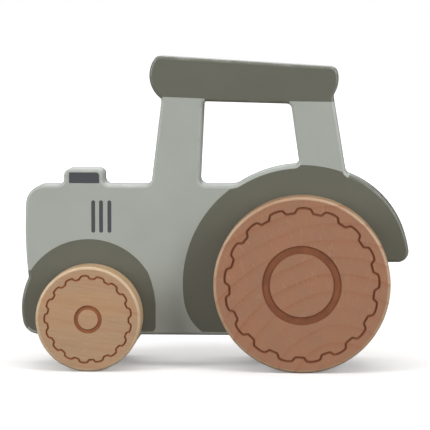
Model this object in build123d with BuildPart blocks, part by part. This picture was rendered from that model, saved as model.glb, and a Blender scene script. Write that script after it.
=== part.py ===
"""Push-along toy tractor: one sawn and painted board on two glued-up pairs of turned wheels.

The tractor stands on z = 0 with its nose towards -X and its left side towards -Y.
The origin is on the ground, under the middle of its length and of its width.
"""
from build123d import *
import os
from math import cos, radians, sin, sqrt

os.makedirs("parts", exist_ok=True)

# ---------------------------------------------------------------- driving dimensions, mm

# Board
board_thickness = 20.0
board_edge_r = 1.5         # rounding of every sawn edge
underside_z = 14.8
bonnet_rise = 3.7          # bonnet's top above the rear wheel's top
cab_height = 59.2          # from the bonnet to the roof's front end
roof_fall = 0.0705         # how far the roof drops for each millimetre towards the back

# Wheels and axles
wheelbase = 96.85
rear_wheel_d = 80.0
front_wheel_d = 48.0
wheel_thickness = 16.0
wheel_edge_r = 1.5
wheel_gap = 1.5            # between a wheel and the board
axle_d = 8.0
axle_running_clearance = 0.1   # on the radius, in the board
axle_press = 0.025             # how much smaller the wheel's bore is, on the radius
wheel_bore_depth = 11.0
glue_space = 1.0           # left past the axle's end in the blind bore
axle_end_chamfer = 0.8

# Washers between wheel and board
washer_thickness = 1.0
washer_rim = 5.0           # from the axle's surface to the washer's edge
washer_clearance = 0.15    # on the radius, over the axle

# Mudguards, about each axle
front_guard_lip = 7.9      # how far the front guard stands out from the front wheel
front_guard_shift_x = -0.65
front_guard_shift_z = 2.8
rear_guard_lip = 3.0       # the back of the rear guard
rear_guard_shift_x = 5.7
rear_guard_shift_z = 8.8
rear_arch_lip = 14.8       # the painted arch over the rear wheel, which the window sill follows
rear_arch_shift_z = -1.5
rear_guard_edge_z = 8.95   # lower edge of the rear guard, above the axle
rear_guard_tip_r = 5.0
tail_x = 29.5              # back end of the board under the guard, behind the axle

# Bonnet and radiator cap
nose_setback = 2.0         # fullest point of the nose, behind the front guard's foremost point
nose_top_setback = 2.8     # the nose's upper corner, likewise
notch_rise = 14.2          # where the nose meets the guard, above the guard's centre
cap_front_x = -12.75       # from the front axle
cap_back_x = 5.15
cap_height = 7.4

# Cab and roof, measured from the rear axle
pillar_front_x = -69.5     # foot of the front pillar, at bonnet height
pillar_front_lean = 0.125  # each pillar's lean, as a slope
pillar_back_x = 19.7       # foot of the back pillar, on the guard
pillar_back_lean = -0.168
roof_front_x = -54.65      # centre of the rounded front end
roof_front_r = 15.5
roof_front_drop = 9.9      # that centre, below the front end's top
roof_front_tuck = 1.9      # how far above that circle the front end curves in to the pillar
roof_back_x = 4.15         # centre of the rounded back end
roof_back_r = 12.0
roof_back_drop = 6.4

# Window, measured from the rear axle
window_top_drop = 20.7     # below the roof's front end
window_front_x = -47.45    # front edge, at sill height
window_top_fall = 0.026    # how far its top drops for each millimetre towards the back
window_front_lean = 0.044
window_back_x = -1.6       # back edge, where it meets the arch
window_back_lean = -0.1324
window_sill = 0.1          # above the bonnet

# Engraving on the wheels' outer faces
groove_depth = 0.4
tread_lobes = 17
lobe_shoulder = 0.235      # half of a lobe's top, as a share of the lobes' pitch
lobe_foot = 0.345          # half of its base, likewise
lobe_crown = 0.15          # how much of a lobe's height is in its rounded top
rear_ring = (14.4, 17.9)   # inner and outer radius
rear_tread_inset = 5.0     # from the wheel's rim to the scalloped line's highest points
rear_tread_height = 2.25
rear_tread_width = 0.95
rear_tread_turn = 1.6      # degrees clockwise from the top, seen from outside
front_ring = (4.6, 6.3)
front_tread_inset = 4.15
front_tread_height = 1.35
front_tread_width = 0.75
front_tread_turn = -4.5

# ---------------------------------------------------------------- worked-out places

half_board = board_thickness / 2
rear_r = rear_wheel_d / 2
front_r = front_wheel_d / 2
axle_r = axle_d / 2
hood_z = rear_wheel_d + bonnet_rise
cab_top_z = hood_z + cab_height

front_guard_r = front_r + front_guard_lip
rear_guard_r = rear_r + rear_guard_lip
rear_arch_r = rear_r + rear_arch_lip
front_reach = front_guard_r - front_guard_shift_x
tip_rise = rear_guard_edge_z + rear_guard_tip_r - rear_guard_shift_z
tip_reach = sqrt((rear_guard_r - rear_guard_tip_r) ** 2 - tip_rise ** 2) + rear_guard_tip_r
rear_reach = rear_guard_shift_x + tip_reach
length = front_reach + wheelbase + rear_reach
front_x = front_reach - length / 2
rear_x = front_x + wheelbase


def on_circle_above(centre, radius, x):
    """The upper point of a circle at a given x."""
    return (x, centre[1] + sqrt(radius ** 2 - (x - centre[0]) ** 2))


def beside_circle(centre, radius, z, side):
    """The point of a circle at a given z, on its front (-1) or back (+1) side."""
    return (centre[0] + side * sqrt(radius ** 2 - (z - centre[1]) ** 2), z)


def line_meets_circle(foot, lean, centre, radius, side):
    """Where a leaning upright line crosses a circle, at its lower (-1) or upper (+1) crossing."""
    size = sqrt(1 + lean ** 2)
    step_x, step_z = lean / size, 1 / size
    to_x, to_z = foot[0] - centre[0], foot[1] - centre[1]
    along = to_x * step_x + to_z * step_z
    reach = sqrt(along ** 2 - to_x ** 2 - to_z ** 2 + radius ** 2)
    run = -along + side * reach
    return (foot[0] + run * step_x, foot[1] + run * step_z)


def arc_middle(centre, radius, start, end):
    """A point halfway along the short arc between two points of a circle."""
    away_x = (start[0] + end[0]) / 2 - centre[0]
    away_z = (start[1] + end[1]) / 2 - centre[1]
    size = sqrt(away_x ** 2 + away_z ** 2)
    return (centre[0] + away_x * radius / size, centre[1] + away_z * radius / size)


# Front mudguard and nose
front_guard = (front_x + front_guard_shift_x, front_r + front_guard_shift_z)
toe = beside_circle(front_guard, front_guard_r, underside_z, -1)
notch = beside_circle(front_guard, front_guard_r, front_guard[1] + notch_rise, -1)
nose_bulge = (front_x - front_reach + nose_setback, (notch[1] + hood_z) / 2)
nose_top = (front_x - front_reach + nose_top_setback, hood_z)

# Radiator cap
cap_front = front_x + cap_front_x
cap_back = front_x + cap_back_x
cap_z = hood_z + cap_height

# Cab and roof
cab_foot = (rear_x + pillar_front_x, hood_z)
roof_front = (rear_x + roof_front_x, cab_top_z - roof_front_drop)
roof_back = (rear_x + roof_back_x, cab_top_z - (roof_back_x - roof_front_x) * roof_fall - roof_back_drop)
low_eave = line_meets_circle(cab_foot, pillar_front_lean, roof_front, roof_front_r, -1)
front_eave = (low_eave[0] + roof_front_tuck * pillar_front_lean, low_eave[1] + roof_front_tuck)
roof_front_top = beside_circle(roof_front, roof_front_r, cab_top_z, -1)
roof_line_back_z = roof_back[1] + roof_back_drop - roof_fall * roof_back_r
roof_back_top = beside_circle(roof_back, roof_back_r, roof_line_back_z, 1)

# Rear mudguard
rear_guard = (rear_x + rear_guard_shift_x, rear_r + rear_guard_shift_z)
guard_foot = on_circle_above(rear_guard, rear_guard_r, rear_x + pillar_back_x)
back_eave = line_meets_circle(guard_foot, pillar_back_lean, roof_back, roof_back_r, -1)
guard_edge_z = rear_r + rear_guard_edge_z
guard_tip = beside_circle(rear_guard, rear_guard_r, guard_edge_z, 1)
tail = rear_x + tail_x

# Window
rear_arch = (rear_x, rear_r + rear_arch_shift_z)
sill_z = hood_z + window_sill
window_top_z = cab_top_z - window_top_drop
window_low_front = (rear_x + window_front_x, sill_z)
window_top_front = (window_low_front[0] + (window_top_z - sill_z) * window_front_lean, window_top_z)
window_low_back = on_circle_above(rear_arch, rear_arch_r, rear_x + window_back_x)
window_top_back_x = window_low_back[0] + (window_top_z - window_low_back[1]) * window_back_lean
window_top_back_z = window_top_z - (window_top_back_x - window_top_front[0]) * window_top_fall
window_top_back = (window_top_back_x, window_top_back_z)
sill_meets_arch = beside_circle(rear_arch, rear_arch_r, sill_z, -1)

# Every corner of the outline and of the window, with its rounding
corner_rounding = [
    (toe, 7.2), (notch, 2.5), (nose_top, 8.8),
    ((cap_front, hood_z), 2.8), ((cap_front, cap_z), 3.0),
    ((cap_back, cap_z), 3.0), ((cap_back, hood_z), 2.8),
    (cab_foot, 3.5), (front_eave, 2.4), (roof_front_top, 2.5),
    (roof_back_top, 3.6), (back_eave, 4.0), (guard_foot, 3.0), (guard_tip, rear_guard_tip_r),
    ((tail, guard_edge_z), 6.0), ((tail, underside_z), 6.0),
]
window_rounding = [
    (window_low_front, 3.0), (window_top_front, 2.0), (window_top_back, 2.5),
    (window_low_back, 2.2), (sill_meets_arch, 8.0),
]


def round_corners(sketch, table):
    """Round each corner in a table of (place, radius)."""
    for place, radius in table:
        corner = sketch.vertices().sort_by_distance(place)[0]
        fillet(corner, radius)


# ---------------------------------------------------------------- body board

right_face = Plane.XZ.offset(-half_board)

with BuildPart() as body_board:
    with BuildSketch(right_face) as outline:
        with BuildLine():
            ThreePointArc(toe, arc_middle(front_guard, front_guard_r, toe, notch), notch)
            ThreePointArc(notch, nose_bulge, nose_top)
            Polyline(nose_top, (cap_front, hood_z), (cap_front, cap_z), (cap_back, cap_z),
                     (cap_back, hood_z), cab_foot, front_eave)
            ThreePointArc(front_eave, (roof_front[0] - roof_front_r, roof_front[1]), roof_front_top)
            Line(roof_front_top, roof_back_top)
            ThreePointArc(roof_back_top, (roof_back[0] + roof_back_r, roof_back[1]), back_eave)
            Line(back_eave, guard_foot)
            ThreePointArc(guard_foot, arc_middle(rear_guard, rear_guard_r, guard_foot, guard_tip), guard_tip)
            Polyline(guard_tip, (tail, guard_edge_z), (tail, underside_z), toe)
        make_face()
        round_corners(outline, corner_rounding)
    extrude(amount=board_thickness)
    with BuildSketch(right_face) as window:
        with BuildLine():
            Line(window_low_front, window_top_front)
            Line(window_top_front, window_top_back)
            Line(window_top_back, window_low_back)
            ThreePointArc(window_low_back,
                          arc_middle(rear_arch, rear_arch_r, window_low_back, sill_meets_arch),
                          sill_meets_arch)
            Line(sill_meets_arch, window_low_front)
        make_face()
        round_corners(window, window_rounding)
    extrude(amount=board_thickness, mode=Mode.SUBTRACT)
    across = body_board.edges().group_by(Axis.Y)
    fillet(across[0] + across[-1], board_edge_r)
    with Locations(Location((front_x, 0, front_r), (90, 0, 0)), Location((rear_x, 0, rear_r), (90, 0, 0))):
        Hole(axle_r + axle_running_clearance)

body_board.part.label = "body_board"
export_step(body_board.part, "parts/body_board.step")

# ---------------------------------------------------------------- axles

axle_sets = [("front", front_x, front_r), ("rear", rear_x, rear_r)]
wheel_inner_y = half_board + wheel_gap
axle_half = wheel_inner_y + wheel_bore_depth - glue_space

for end, axle_x, axle_z in axle_sets:
    with BuildPart() as axle:
        with BuildSketch(Plane(origin=(axle_x, axle_half, axle_z), z_dir=(0, -1, 0))):
            Circle(axle_r)
        extrude(amount=2 * axle_half)
        ends = axle.faces().filter_by(GeomType.PLANE)
        chamfer(ends.edges(), axle_end_chamfer)
    axle.part.label = f"{end}_axle"
    export_step(axle.part, f"parts/{axle.part.label}.step")

# ---------------------------------------------------------------- wheels


def polar(radius, angle):
    """A point of the wheel's face, by radius and degrees clockwise from the top."""
    return (radius * sin(radians(angle)), radius * cos(radians(angle)))


def scalloped_face(high, height, turn):
    """The closed scalloped line of the tread: broad lobes with short dips between them."""
    pitch = 360 / tread_lobes
    foot_angle = lobe_foot * pitch
    shoulder_angle = lobe_shoulder * pitch
    low = high - height
    shoulder = high - lobe_crown * height
    with BuildSketch() as tread:
        with BuildLine():
            for lobe in range(tread_lobes):
                middle = turn + lobe * pitch
                rise = polar(shoulder, middle - shoulder_angle)
                fall = polar(shoulder, middle + shoulder_angle)
                Line(polar(low, middle - foot_angle), rise)
                ThreePointArc(rise, polar(high, middle), fall)
                Line(fall, polar(low, middle + foot_angle))
                Line(polar(low, middle + foot_angle), polar(low, middle + pitch - foot_angle))
        make_face()
    return tread.sketch


def make_wheel(axle_x, radius, ring, tread_inset, tread_height, tread_width, turn, side):
    """One turned wheel with its blind bore inside and its engraving outside; side is -1 for left."""
    hub = Plane(origin=(axle_x, side * wheel_inner_y, radius), x_dir=(-side, 0, 0), z_dir=(0, side, 0))
    engraved = hub.offset(wheel_thickness - groove_depth)
    line = scalloped_face(radius - tread_inset, tread_height, turn)
    with BuildPart() as wheel:
        with BuildSketch(hub):
            Circle(radius)
        extrude(amount=wheel_thickness)
        fillet(wheel.edges().filter_by(GeomType.CIRCLE), wheel_edge_r)
        with BuildSketch(hub):
            Circle(axle_r - axle_press)
        extrude(amount=wheel_bore_depth, mode=Mode.SUBTRACT)
        with BuildSketch(engraved):
            Circle(ring[1])
            Circle(ring[0], mode=Mode.SUBTRACT)
        extrude(amount=2 * groove_depth, mode=Mode.SUBTRACT)
        with BuildSketch(engraved):
            add(offset(line, tread_width / 2, mode=Mode.PRIVATE))
            add(offset(line, -tread_width / 2, mode=Mode.PRIVATE), mode=Mode.SUBTRACT)
        extrude(amount=2 * groove_depth, mode=Mode.SUBTRACT)
    return wheel.part


engravings = {
    "front": (front_ring, front_tread_inset, front_tread_height, front_tread_width, front_tread_turn),
    "rear": (rear_ring, rear_tread_inset, rear_tread_height, rear_tread_width, rear_tread_turn),
}
sides = [("left", -1), ("right", 1)]

for end, axle_x, radius in axle_sets:
    for side_name, side in sides:
        wheel = make_wheel(axle_x, radius, *engravings[end], side)
        wheel.label = f"{end}_wheel_{side_name}"
        export_step(wheel, f"parts/{wheel.label}.step")

# ---------------------------------------------------------------- washers

for end, axle_x, radius in axle_sets:
    for side_name, side in sides:
        seat = Plane(origin=(axle_x, side * wheel_inner_y, radius), z_dir=(0, -side, 0))
        with BuildPart() as washer:
            with BuildSketch(seat):
                Circle(axle_r + washer_rim)
                Circle(axle_r + washer_clearance, mode=Mode.SUBTRACT)
            extrude(amount=washer_thickness)
        washer.part.label = f"{end}_washer_{side_name}"
        export_step(washer.part, f"parts/{washer.part.label}.step")
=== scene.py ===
"""A wooden push-along tractor: one painted board that runs on four turned, laser-engraved wheels."""

import math
from collections import namedtuple

import bpy
import numpy as np
from bpy.props import FloatProperty, FloatVectorProperty, IntProperty, PointerProperty
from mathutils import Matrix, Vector
from mathutils.geometry import delaunay_2d_cdt


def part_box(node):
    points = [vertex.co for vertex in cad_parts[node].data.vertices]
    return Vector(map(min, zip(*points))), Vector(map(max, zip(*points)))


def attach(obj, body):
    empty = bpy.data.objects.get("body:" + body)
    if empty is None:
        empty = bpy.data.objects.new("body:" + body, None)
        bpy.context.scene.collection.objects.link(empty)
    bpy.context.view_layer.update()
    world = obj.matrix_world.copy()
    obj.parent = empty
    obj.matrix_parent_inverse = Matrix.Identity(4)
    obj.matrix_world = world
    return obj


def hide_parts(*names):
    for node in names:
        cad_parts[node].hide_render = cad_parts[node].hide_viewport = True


bl_info = {
    "name": "Wooden Tractor",
    "version": (1, 0, 0),
    "blender": (4, 5, 0),
    "location": "View3D > Sidebar > Tractor",
    "description": "Builds the looks of a painted wooden tractor round its CAD frame",
    "category": "Object",
}

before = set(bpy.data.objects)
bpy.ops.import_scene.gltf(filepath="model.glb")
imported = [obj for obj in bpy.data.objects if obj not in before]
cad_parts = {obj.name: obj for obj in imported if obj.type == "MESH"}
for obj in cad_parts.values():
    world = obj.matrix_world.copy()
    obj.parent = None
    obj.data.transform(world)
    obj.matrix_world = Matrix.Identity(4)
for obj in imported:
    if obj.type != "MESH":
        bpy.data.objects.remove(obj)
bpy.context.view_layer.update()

MM = 0.001
ENDS = ("front", "rear")
SIDES = {"left": -1, "right": 1}

# ---------------------------------------------------------------- properties


def linear(red, green, blue):
    """A colour given in everyday 0-255 values, as the linear values that shaders use."""
    return tuple(((c / 255 + 0.055) / 1.055) ** 2.4 for c in (red, green, blue))


def length_of(name, description, default):
    """A length that a user may change."""
    return FloatProperty(name=name, description=description, default=default, min=0,
                         precision=5, subtype="DISTANCE", unit="LENGTH")


def colour_of(name, description, default):
    """A colour that a user may change."""
    return FloatVectorProperty(name=name, description=description, default=default,
                               min=0, max=1, size=3, subtype="COLOR")


def watts_of(name, description, default):
    """A light's power that a user may change."""
    return FloatProperty(name=name, description=description, default=default, min=0, unit="POWER")


class BoardSettings(bpy.types.PropertyGroup):
    """Sizes and paints of the board"""

    edge_rounding: length_of("Edge rounding", "Radius of the rounded edge all round", 1.5 * MM)
    axle_clearance: length_of("Axle clearance", "Gap round each axle in its bore", 0.1 * MM)
    front_field: length_of("Front field", "Radius of the dark field over a front wheel", 31.93 * MM)
    rear_field: length_of("Rear field", "Radius of the dark field over a rear wheel", 54.8 * MM)
    bar_width: length_of("Grille bar width", "Width of each painted grille bar", 1.8 * MM)
    sage: colour_of("Sage paint", "The board's main paint", linear(167, 172, 166))
    olive: colour_of("Olive paint", "Roof and mudguards", linear(104, 105, 94))
    charcoal: colour_of("Charcoal paint", "Radiator cap and grille", linear(73, 76, 80))
    core: colour_of("Bare core", "The unpainted wood in the bores", linear(188, 160, 122))


class WheelSettings(bpy.types.PropertyGroup):
    """Sizes and woods of the wheels"""

    edge_rounding: length_of("Rim rounding", "Radius of the rounded rims", 1.5 * MM)
    bore_depth: length_of("Bore depth", "Depth of the blind bore for the axle", 11 * MM)
    groove_depth: length_of("Engraving depth", "How deep the burnt lines are", 0.4 * MM)
    scorch_width: length_of("Scorch width", "How far the browning spreads from a line", 0.4 * MM)
    lobes: IntProperty(name="Tread lobes", description="Lobes in the scalloped line",
                       default=17, min=6, max=40)
    rear_face: colour_of("Rear wheel wood", "Face of the rear wheels", linear(160, 117, 92))
    rear_rim: colour_of("Rear wheel rim", "Rim of the rear wheels", linear(178, 144, 110))
    rear_burn: colour_of("Rear burnt line", "Engraving on the rear wheels", linear(130, 79, 53))
    front_face: colour_of("Front wheel wood", "Face of the front wheels", linear(180, 146, 115))
    front_rim: colour_of("Front wheel rim", "Rim of the front wheels", linear(196, 165, 128))
    front_burn: colour_of("Front burnt line", "Engraving on the front wheels", linear(152, 95, 62))
    axle: colour_of("Axle wood", "Dowels that join the wheels", linear(196, 166, 126))
    washer: colour_of("Washer wood", "Thin washers behind the wheels", linear(190, 156, 116))


class StageSettings(bpy.types.PropertyGroup):
    """Floor, lights and camera"""

    floor_radius: length_of("Floor radius", "Radius of the round floor", 6.0)
    floor_colour: colour_of("Floor colour", "Plain pale floor", (0.88, 0.88, 0.88))
    bounce_colour: colour_of("Floor bounce", "The floor as it lights the tractor",
                             (0.22, 0.21, 0.185))
    side_power: watts_of("Side lights", "Power of the soft light at each side", 8.2)
    top_power: watts_of("Top light", "Power of the overhead light", 11.0)
    front_power: watts_of("Front light", "Power of the soft light in front", 1.2)
    back_power: watts_of("Back light", "Power of the soft light behind", 9.0)
    floor_glow: FloatProperty(name="Floor glow", description="Lifts the floor to white",
                              default=0.2, min=0)
    sky_strength: FloatProperty(name="Sky strength", description="Even light from all round",
                                default=0.22, min=0)
    azimuth: FloatProperty(name="Azimuth", description="Camera's turn round the object",
                           default=math.radians(3.10), subtype="ANGLE")
    elevation: FloatProperty(name="Elevation", description="Camera's height above level",
                             default=math.radians(4.78), subtype="ANGLE")
    distance: length_of("Camera distance", "From the camera to its target", 1112 * MM)
    target_height: length_of("Target height", "Height that the camera looks at", 69.45 * MM)
    lens: FloatProperty(name="Lens", description="Focal length in millimetres", default=201.7)


# ---------------------------------------------------------------- plan curves
# Plan points are (x, z), or (right, up) as seen from outside on a wheel's face.

FINE_TURN = math.radians(2.5)      # the most that a smooth curve turns between two samples
FINE_STEP = 3 * MM                 # the most that samples stand apart
EDGE_STEPS = 7                     # flats across a rounded edge
TOUCH = 1e-6                       # places nearer than this are the same place
KEY_DIGITS = 7                     # decimals by which a run's start finds the last one's end
CORNER_ROOM = 0.49                 # the most of a side that a rounded corner takes
SHARPEST_MITRE = 0.5               # holds in an offset line's points at sharp corners
WALL_TILT = 0.01                   # the most that a side wall's normal leans along y
CUT_MARGIN = 0.001                 # cuts nearer to a sample than this share are left out
TINY = 1e-30                       # stands in for zero under a division
GRID_GAP = 0.6                     # between grid and curves, as a share of the spacing
BATCH = 200                        # points whose distances are worked out together

Sample = namedtuple("Sample", "place normal")


def left_of(direction):
    """A plan direction turned a quarter turn anticlockwise."""
    return Vector((-direction.y, direction.x))


def upright(point, y):
    """A plan point's place at some y, or a plan direction's with that much of y."""
    return Vector((point.x, y, point.y))


def as_array(points):
    """Plan points as the rows of an array."""
    return np.array([tuple(p) for p in points])


def neighbours(points):
    """Each point of a closed run between the one before it and the one after it."""
    return zip(points[-1:] + points[:-1], points, points[1:] + points[:1])


def arc(centre, radius, start, end):
    """Points on an arc between two angles in degrees, anticlockwise from the right."""
    count = max(2, math.ceil(abs(math.radians(end - start)) / FINE_TURN))
    angles = (math.radians(start + (end - start) * k / count) for k in range(count + 1))
    return [centre + radius * Vector((math.cos(a), math.sin(a))) for a in angles]


def circle(centre, radius, count):
    """Points all round a circle, anticlockwise from the right."""
    angles = (math.tau * k / count for k in range(count))
    return [centre + radius * Vector((math.cos(a), math.sin(a))) for a in angles]


def rounded(points, radius):
    """A closed run of points with an arc in place of each corner."""
    smooth = []
    for before, here, after in neighbours(points):
        arriving, leaving = here - before, after - here
        turn = arriving.angle_signed(leaving)
        if abs(turn) < 2 * FINE_TURN:
            smooth.append(here)
            continue
        room = CORNER_ROOM * min(arriving.length, leaving.length)
        tangent = min(radius * math.tan(abs(turn) / 2), room)
        fitted = tangent / math.tan(abs(turn) / 2)
        start = here - arriving.normalized() * tangent
        sense = math.copysign(1, -turn)
        inward = left_of(arriving.normalized()) * sense
        middle = start + inward * fitted
        count = max(2, math.ceil(abs(turn) / (3 * FINE_TURN)))
        for k in range(count + 1):
            swing = abs(turn) * k / count
            smooth.append(middle - inward * fitted * math.cos(swing)
                          + arriving.normalized() * fitted * math.sin(swing))
    return smooth


def divided(points, step):
    """The same closed run of points with more points along its long straights."""
    run = []
    for here, after in zip(points, points[1:] + points[:1]):
        count = max(1, math.ceil((after - here).length / step))
        run += [here.lerp(after, k / count) for k in range(count)]
    return run


def offset(points, distance):
    """A closed, anticlockwise run of points moved outward by a distance."""
    moved = []
    for before, here, after in neighbours(points):
        first = -left_of((here - before).normalized())
        second = -left_of((after - here).normalized())
        out = (first + second).normalized()
        moved.append(here + out * distance / max(out.dot(first), SHARPEST_MITRE))
    return moved


def inside(places, curve):
    """Which of some plan places lie inside a closed curve."""
    starts = as_array(curve)
    ends = np.roll(starts, -1, axis=0)
    x, z = places[:, :1], places[:, 1:]
    spans = (starts[:, 1] > z) != (ends[:, 1] > z)
    rise = ends[:, 1] - starts[:, 1]
    rise[rise == 0] = 1
    meets = starts[:, 0] + (z - starts[:, 1]) / rise * (ends[:, 0] - starts[:, 0])
    return (spans & (x < meets)).sum(axis=1) % 2 == 1


def wall_curves(node, level):
    """The closed curves that a board's side walls follow at one level of y, largest first.

    Each is a list of runs (start, its normal, end, its normal), anticlockwise round the wood.
    """
    mesh = node.data
    runs = {}
    for face in mesh.polygons:
        if abs(face.normal.y) > WALL_TILT:
            continue
        ends = [(mesh.vertices[mesh.loops[i].vertex_index].co, mesh.corner_normals[i].vector)
                for i in face.loop_indices]
        ends = [(Vector((co.x, co.z)), Vector((out.x, out.z)).normalized())
                for co, out in ends if abs(co.y - level) < TOUCH]
        if len(ends) != 2:
            continue
        (a, out_a), (b, out_b) = ends
        if (b - a).dot(left_of(out_a + out_b)) < 0:
            a, out_a, b, out_b = b, out_b, a, out_a
        runs[a.to_tuple(KEY_DIGITS)] = (a, out_a, b, out_b)
    curves = []
    while runs:
        curve = []
        key = next(iter(runs))
        while key in runs:
            curve.append(runs.pop(key))
            key = curve[-1][2].to_tuple(KEY_DIGITS)
        curves.append(curve)
    return sorted(curves, key=len, reverse=True)


def smooth_samples(curve):
    """Close-set samples on the smooth curve that a closed list of runs stands for."""
    samples = []
    for a, out_a, b, out_b in curve:
        chord = (b - a).length
        bend = out_a.angle(out_b)
        pull = chord / math.cos(bend / 4) ** 2
        count = max(math.ceil(chord / FINE_STEP), math.ceil(bend / FINE_TURN), 1)
        for k in range(count):
            u = k / count
            from_a = ((2 * u ** 3 - 3 * u ** 2 + 1) * a
                      + (u ** 3 - 2 * u ** 2 + u) * pull * left_of(out_a))
            from_b = (3 * u ** 2 - 2 * u ** 3) * b + (u ** 3 - u ** 2) * pull * left_of(out_b)
            samples.append(Sample(from_a + from_b, out_a.lerp(out_b, u).normalized()))
    return samples


def inset(samples, distance):
    """The samples' places, moved into the wood."""
    return [s.place - s.normal * distance for s in samples]


def cut_by(samples, curves, distance):
    """The samples with one more wherever their inset line crosses one of the curves."""
    line = as_array(inset(samples, distance))
    along = np.roll(line, -1, axis=0) - line
    cuts = {}
    for curve in curves:
        points = as_array(curve)
        for start, step in zip(points[:-1], points[1:] - points[:-1]):
            across = along[:, 0] * step[1] - along[:, 1] * step[0]
            across[across == 0] = TINY
            gap = start - line
            u = (gap[:, 0] * step[1] - gap[:, 1] * step[0]) / across
            v = (gap[:, 0] * along[:, 1] - gap[:, 1] * along[:, 0]) / across
            crossed = (u > CUT_MARGIN) & (u < 1 - CUT_MARGIN) & (v >= 0) & (v < 1)
            for i in np.nonzero(crossed)[0]:
                cuts.setdefault(int(i), []).append(float(u[i]))
    cut = []
    for i, here in enumerate(samples):
        after = samples[(i + 1) % len(samples)]
        cut.append(here)
        cut += [Sample(here.place.lerp(after.place, u), here.normal.lerp(after.normal, u))
                for u in sorted(cuts.get(i, []))]
    return cut


def flat_triangles(curves, spacing):
    """Triangles over the area of some plan curves, which are kept as edges, with their middles.

    Between the curves stands a grid of points, so that no triangle is large.
    """
    points = []
    edges = []
    for curve, closed in curves:
        first = len(points)
        points += curve
        edges += [(first + k, first + k + 1) for k in range(len(curve) - 1)]
        if closed:
            edges.append((len(points) - 1, first))
    taken = as_array(points)
    low, high = taken.min(axis=0), taken.max(axis=0)
    row_height = spacing * math.sin(math.radians(60))
    grid = np.array([(low[0] + (column + row % 2 / 2) * spacing, low[1] + row * row_height)
                     for row in range(int((high[1] - low[1]) / row_height) + 1)
                     for column in range(int((high[0] - low[0]) / spacing) + 1)])
    for k in range(0, len(taken), BATCH):
        near = np.linalg.norm(grid[:, None] - taken[None, k:k + BATCH], axis=2).min(axis=1)
        grid = grid[near > GRID_GAP * spacing]
    points = points + [Vector(p) for p in grid]
    places, _, faces, *_ = delaunay_2d_cdt(points, edges, [], 0, TOUCH)
    middles = as_array(sum((places[i] for i in face), Vector((0, 0))) / len(face) for face in faces)
    return [[places[i] for i in face] for face in faces], middles


# ---------------------------------------------------------------- meshes

Corner = namedtuple("Corner", "place normal edge scorch", defaults=(0.0, 0.0))


class Skin:
    """Gathers faces with their own corner normals, joins them and makes the object."""

    def __init__(self):
        self.places = {}
        self.edge = []
        self.scorch = []
        self.faces = []
        self.normals = []
        self.paints = []

    def face(self, corners, paint=0):
        """One face, which is turned over where it would look the wrong way."""
        a, b, c = (corner.place for corner in corners[:3])
        looks = (b - a).cross(c - b)
        if len(corners) == 4:
            looks += (corners[3].place - c).cross(a - corners[3].place)
        if looks.dot(sum((corner.normal for corner in corners), Vector((0, 0, 0)))) < 0:
            corners = corners[::-1]
        indices = []
        for corner in corners:
            key = corner.place.to_tuple()
            if key not in self.places:
                self.places[key] = len(self.places)
                self.edge.append(corner.edge)
                self.scorch.append(corner.scorch)
            indices.append(self.places[key])
        if len(set(indices)) < len(indices):
            return
        self.faces.append(indices)
        self.normals += [corner.normal for corner in corners]
        self.paints.append(paint)

    def strip(self, first, second, paint=0):
        """Four-cornered faces between two closed rows of corners; paint may be one for each."""
        count = len(first)
        for k in range(count):
            after = (k + 1) % count
            each = paint[k] if isinstance(paint, list) else paint
            self.face([first[k], first[after], second[after], second[k]], each)

    def strips(self, rows, paint=0):
        """Strips between each closed row of corners and the next."""
        for first, second in zip(rows, rows[1:]):
            self.strip(first, second, paint)

    def fan(self, row, middle, paint=0):
        """Triangles between a closed row of corners and one in its middle."""
        for here, after in zip(row, row[1:] + row[:1]):
            self.face([here, after, middle], paint)

    def make(self, name, materials):
        """The finished object."""
        mesh = bpy.data.meshes.new(name)
        mesh.from_pydata([Vector(key) for key in self.places], [], self.faces)
        for material in materials:
            mesh.materials.append(material)
        mesh.polygons.foreach_set("material_index", self.paints)
        for label, values in (("edge", self.edge), ("scorch", self.scorch)):
            mesh.attributes.new(label, "FLOAT", "POINT").data.foreach_set("value", values)
        mesh.shade_smooth()
        mesh.normals_split_custom_set(self.normals)
        piece = bpy.data.objects.new(name, mesh)
        bpy.context.scene.collection.objects.link(piece)
        return piece


# ---------------------------------------------------------------- shader nodes


NODE_SPACING = 200                 # between nodes in the editor
TO_MM = 1000.0


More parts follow.
